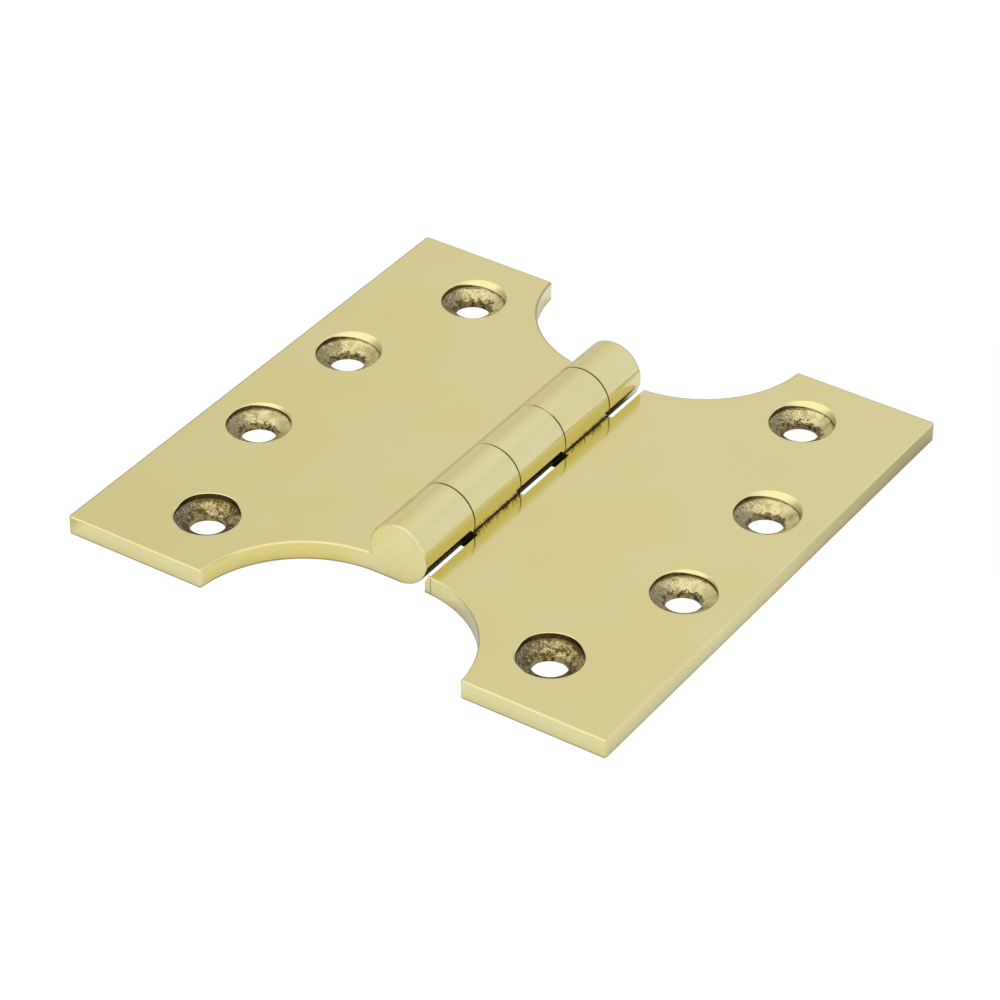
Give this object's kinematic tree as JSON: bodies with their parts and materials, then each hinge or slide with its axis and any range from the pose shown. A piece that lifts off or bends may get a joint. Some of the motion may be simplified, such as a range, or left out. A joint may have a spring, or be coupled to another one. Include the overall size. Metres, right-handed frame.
{
  "type": "parliament hinge",
  "caption": "Solid-drawn brass parliament hinge lying open flat: broad leaves with arc cut-outs and countersunk holes, joined by interleaved knuckles on a pin.",
  "frame": {"origin": "on the underside, midway along the pin and straight under its axis", "axes": "+X to the right leaf, +Y along the pin to the far end, +Z out of the countersunk faces, up from the surface it lies on"},
  "size_m": [0.1016, 0.1016, 0.0108],
  "materials": {
    "leaf_brass": "satin polished, unlacquered",
    "pin_steel": "drawn bright",
    "plug_brass": "polished flush"
  },
  "bodies": {
    "left_leaf": {"left_leaf": "leaf_brass", "hinge_pin": "pin_steel", "near_end_plug": "plug_brass", "far_end_plug": "plug_brass"},
    "right_leaf": {"right_leaf": "leaf_brass"}
  },
  "joints": [
    {"name": "leaf_hinge", "type": "hinge", "parent": "left_leaf", "child": "right_leaf", "pos_m": [0, 0, 0.0054], "axis": [0, -1, 0], "range_deg": [0, 180]}
  ]
}
